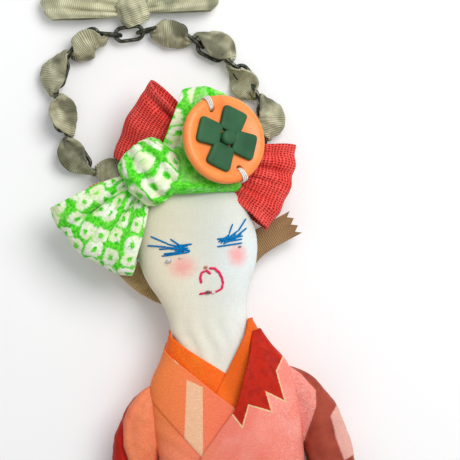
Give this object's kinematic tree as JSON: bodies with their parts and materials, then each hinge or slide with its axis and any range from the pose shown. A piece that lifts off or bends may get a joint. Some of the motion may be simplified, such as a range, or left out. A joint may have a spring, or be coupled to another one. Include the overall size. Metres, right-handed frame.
{
  "type": "kimono doll bag charm",
  "caption": "Stuffed cloth doll in a kimono with a bowed head scarf and a large button, hung from a chain strap woven with ribbon and tied in a bow.",
  "frame": {"origin": "middle of the flat folded back of the sash knot, which lies on the table when the doll lies on its back", "axes": "+X to the viewer's right when the doll is seen from the front, +Y from the hem towards the head and strap, +Z out of the doll's front"},
  "size_m": [0.1111, 0.3029, 0.0437],
  "materials": {
    "linen": "plain woven unbleached cotton",
    "stuffing": "soft wadding in plain cloth",
    "coral_silk": "soft crepe kimono cloth",
    "pink_silk": "soft crepe kimono cloth",
    "orange_silk": "satin weave",
    "sash_silk": "stiff woven sash cloth",
    "green_cloth": "tie-dyed crepe with pale rings",
    "red_mesh": "open knitted ribbon",
    "brown_ribbon": "ribbed ribbon",
    "khaki_ribbon": "ribbed grosgrain ribbon",
    "chain": "dark antique plating",
    "orange_button": "smooth moulded plastic",
    "green_flower": "smooth moulded plastic"
  },
  "bodies": {
    "doll": {"back_ribbon": "brown_ribbon", "button": "orange_button", "button_flower": "green_flower", "head": "linen", "inner_collar_over": "orange_silk", "inner_collar_under": "orange_silk", "kimono_back": "coral_silk", "kimono_front_over": "pink_silk", "kimono_front_under": "coral_silk", "red_loop_left": "red_mesh", "red_loop_right": "red_mesh", "sash": "sash_silk", "sash_knot": "sash_silk", "scarf_band": "green_cloth", "scarf_knot": "green_cloth", "scarf_side_loop": "green_cloth", "scarf_upper_fold": "green_cloth", "strap_tab_left": "khaki_ribbon", "strap_tab_right": "khaki_ribbon", "torso_core": "stuffing"},
    "sleeve_left": {"sleeve_left": "coral_silk"},
    "sleeve_right": {"sleeve_right": "coral_silk"},
    "strap_lower": {"link_01": "chain", "link_02": "chain", "link_03": "chain", "link_04": "chain", "link_05": "chain", "link_22": "chain", "link_23": "chain", "link_24": "chain", "link_25": "chain", "ribbon_puff_03": "khaki_ribbon", "ribbon_puff_05": "khaki_ribbon", "ribbon_puff_23": "khaki_ribbon"},
    "strap_middle": {"link_06": "chain", "link_07": "chain", "link_20": "chain", "link_21": "chain", "ribbon_puff_07": "khaki_ribbon", "ribbon_puff_21": "khaki_ribbon"},
    "strap_top": {"link_08": "chain", "link_09": "chain", "link_10": "chain", "link_11": "chain", "link_12": "chain", "link_13": "chain", "link_14": "chain", "link_15": "chain", "link_16": "chain", "link_17": "chain", "link_18": "chain", "link_19": "chain", "ribbon_puff_09": "khaki_ribbon", "ribbon_puff_11": "khaki_ribbon", "ribbon_puff_15": "khaki_ribbon", "ribbon_puff_17": "khaki_ribbon", "ribbon_puff_19": "khaki_ribbon", "strap_bow_knot": "khaki_ribbon", "strap_bow_loop_left": "khaki_ribbon", "strap_bow_loop_right": "khaki_ribbon"}
  },
  "joints": [
    {"name": "strap_swing", "type": "hinge", "parent": "doll", "child": "strap_lower", "pos_m": [-0.01683, 0.12937, 0.004], "axis": [1, 0, 0], "range_deg": [-110, 0]},
    {"name": "strap_fold_lower", "type": "hinge", "parent": "strap_lower", "child": "strap_middle", "pos_m": [-0.04607, 0.16422, 0.004], "axis": [0.9984, -0.0566, 0], "range_deg": [-35, 35]},
    {"name": "strap_fold_upper", "type": "hinge", "parent": "strap_middle", "child": "strap_top", "pos_m": [-0.05047, 0.18274, 0.004], "axis": [0.9985, -0.0545, 0], "range_deg": [-35, 35]},
    {"name": "sleeve_left_swing", "type": "hinge", "parent": "doll", "child": "sleeve_left", "pos_m": [-0.024, 0.06038, 0.01818], "axis": [0, 0, -1], "range_deg": [0, 20]},
    {"name": "sleeve_right_swing", "type": "hinge", "parent": "doll", "child": "sleeve_right", "pos_m": [0.024, 0.06038, 0.01818], "axis": [0, 0, 1], "range_deg": [0, 20]}
  ]
}
